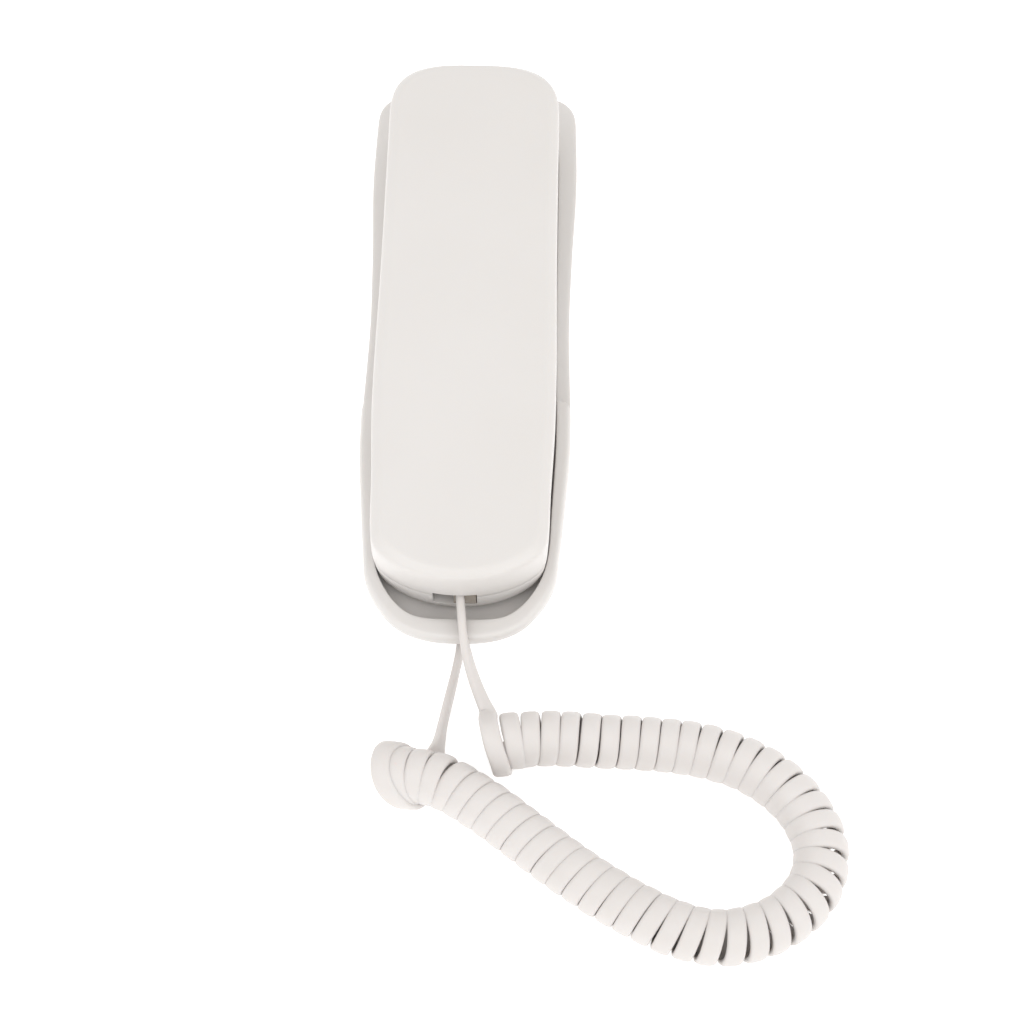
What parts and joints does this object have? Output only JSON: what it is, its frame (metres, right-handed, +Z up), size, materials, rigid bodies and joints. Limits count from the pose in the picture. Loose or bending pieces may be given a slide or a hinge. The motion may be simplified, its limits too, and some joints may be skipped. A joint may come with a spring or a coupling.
{
  "type": "slimline wall phone",
  "caption": "Slim wall telephone lying face up: blank-backed handset resting in a cradle base with a U-shaped cup, joined by a curly cord that loops to one side.",
  "frame": {"origin": "under the middle of the base, on the surface it lies on", "axes": "+Y from the cup towards the receiver end, +Z up out of the cradle, +X to the right"},
  "size_m": [0.1318, 0.2712, 0.043],
  "materials": {
    "white_plastic": "warm off-white moulded plastic, soft gloss",
    "key_plastic": "off-white moulded keys, satin",
    "dark_plastic": "black moulded plastic",
    "knob_plastic": "grey moulded plastic",
    "steel": "zinc-plated steel",
    "foot_rubber": "grey rubber",
    "mic_rubber": "black rubber",
    "mat_rubber": "translucent grey silicone",
    "circuit_board": "green solder mask",
    "cord_vinyl": "smooth off-white vinyl, satin",
    "clear_plastic": "clear polycarbonate, slightly yellowed"
  },
  "bodies": {
    "base": {"base_shell": "white_plastic", "base_back_plate": "white_plastic", "base_circuit_board": "circuit_board", "ringer_speaker": "dark_plastic", "hook_switch_body": "dark_plastic", "hook_spring": "steel", "line_jack": "dark_plastic", "base_cord_jack": "white_plastic", "base_plug": "clear_plastic", "handset_hook_tab": "white_plastic", "base_screw_1": "steel", "base_screw_2": "steel", "base_screw_3": "steel", "base_screw_4": "steel", "rubber_foot_1": "foot_rubber", "rubber_foot_2": "foot_rubber", "rubber_foot_3": "foot_rubber", "rubber_foot_4": "foot_rubber", "cord_coil": "cord_vinyl", "cord_handset_lead": "cord_vinyl", "cord_base_lead": "cord_vinyl"},
    "handset": {"handset_outer_shell": "white_plastic", "handset_inner_shell": "white_plastic", "receiver_capsule": "dark_plastic", "microphone_capsule": "steel", "microphone_boot": "mic_rubber", "keypad_membrane": "mat_rubber", "keypad_board": "circuit_board", "handset_weight": "steel", "handset_cord_jack": "white_plastic", "handset_plug": "clear_plastic", "handset_screw_1": "steel", "handset_screw_2": "steel"},
    "hook_plunger": {"hook_switch_plunger": "white_plastic"},
    "ringer_volume": {"ringer_volume_knob": "knob_plastic"},
    "tone_pulse": {"tone_pulse_knob": "knob_plastic"},
    "key_1": {"key_1": "key_plastic"},
    "key_2": {"key_2": "key_plastic"},
    "key_3": {"key_3": "key_plastic"},
    "key_4": {"key_4": "key_plastic"},
    "key_5": {"key_5": "key_plastic"},
    "key_6": {"key_6": "key_plastic"},
    "key_7": {"key_7": "key_plastic"},
    "key_8": {"key_8": "key_plastic"},
    "key_9": {"key_9": "key_plastic"},
    "key_star": {"key_star": "key_plastic"},
    "key_0": {"key_0": "key_plastic"},
    "key_hash": {"key_hash": "key_plastic"},
    "key_flash": {"key_flash": "key_plastic"},
    "key_redial": {"key_redial": "key_plastic"},
    "key_mute": {"key_mute": "key_plastic"}
  },
  "joints": [
    {"name": "handset_lift", "type": "slide", "parent": "base", "child": "handset", "axis": [0, 0, 1], "range_m": [0, 0.06]},
    {"name": "hook_plunger_slide", "type": "slide", "parent": "base", "child": "hook_plunger", "axis": [0, 0, 1], "range_m": [0, 0.003], "stiffness_N_per_m": 120, "springref_m": 0.005, "deforming": ["hook_spring"]},
    {"name": "ringer_volume_slide", "type": "slide", "parent": "base", "child": "ringer_volume", "axis": [1, 0, 0], "range_m": [-0.0015, 0.0015]},
    {"name": "tone_pulse_slide", "type": "slide", "parent": "base", "child": "tone_pulse", "axis": [1, 0, 0], "range_m": [-0.0015, 0.0015]},
    {"name": "key_1_press", "type": "slide", "parent": "handset", "child": "key_1", "axis": [0, 0, 1], "range_m": [0, 0.0012], "stiffness_N_per_m": 400, "springref_m": -0.001},
    {"name": "key_2_press", "type": "slide", "parent": "handset", "child": "key_2", "axis": [0, 0, 1], "range_m": [0, 0.0012], "stiffness_N_per_m": 400, "springref_m": -0.001},
    {"name": "key_3_press", "type": "slide", "parent": "handset", "child": "key_3", "axis": [0, 0, 1], "range_m": [0, 0.0012], "stiffness_N_per_m": 400, "springref_m": -0.001},
    {"name": "key_4_press", "type": "slide", "parent": "handset", "child": "key_4", "axis": [0, 0, 1], "range_m": [0, 0.0012], "stiffness_N_per_m": 400, "springref_m": -0.001},
    {"name": "key_5_press", "type": "slide", "parent": "handset", "child": "key_5", "axis": [0, 0, 1], "range_m": [0, 0.0012], "stiffness_N_per_m": 400, "springref_m": -0.001},
    {"name": "key_6_press", "type": "slide", "parent": "handset", "child": "key_6", "axis": [0, 0, 1], "range_m": [0, 0.0012], "stiffness_N_per_m": 400, "springref_m": -0.001},
    {"name": "key_7_press", "type": "slide", "parent": "handset", "child": "key_7", "axis": [0, 0, 1], "range_m": [0, 0.0012], "stiffness_N_per_m": 400, "springref_m": -0.001},
    {"name": "key_8_press", "type": "slide", "parent": "handset", "child": "key_8", "axis": [0, 0, 1], "range_m": [0, 0.0012], "stiffness_N_per_m": 400, "springref_m": -0.001},
    {"name": "key_9_press", "type": "slide", "parent": "handset", "child": "key_9", "axis": [0, 0, 1], "range_m": [0, 0.0012], "stiffness_N_per_m": 400, "springref_m": -0.001},
    {"name": "key_star_press", "type": "slide", "parent": "handset", "child": "key_star", "axis": [0, 0, 1], "range_m": [0, 0.0012], "stiffness_N_per_m": 400, "springref_m": -0.001},
    {"name": "key_0_press", "type": "slide", "parent": "handset", "child": "key_0", "axis": [0, 0, 1], "range_m": [0, 0.0012], "stiffness_N_per_m": 400, "springref_m": -0.001},
    {"name": "key_hash_press", "type": "slide", "parent": "handset", "child": "key_hash", "axis": [0, 0, 1], "range_m": [0, 0.0012], "stiffness_N_per_m": 400, "springref_m": -0.001},
    {"name": "key_flash_press", "type": "slide", "parent": "handset", "child": "key_flash", "axis": [0, 0, 1], "range_m": [0, 0.0012], "stiffness_N_per_m": 400, "springref_m": -0.001},
    {"name": "key_redial_press", "type": "slide", "parent": "handset", "child": "key_redial", "axis": [0, 0, 1], "range_m": [0, 0.0012], "stiffness_N_per_m": 400, "springref_m": -0.001},
    {"name": "key_mute_press", "type": "slide", "parent": "handset", "child": "key_mute", "axis": [0, 0, 1], "range_m": [0, 0.0012], "stiffness_N_per_m": 400, "springref_m": -0.001}
  ],
  "couplings": [
    {"joint": "hook_plunger_slide", "follows": "handset_lift", "ratio": 0.05}
  ]
}
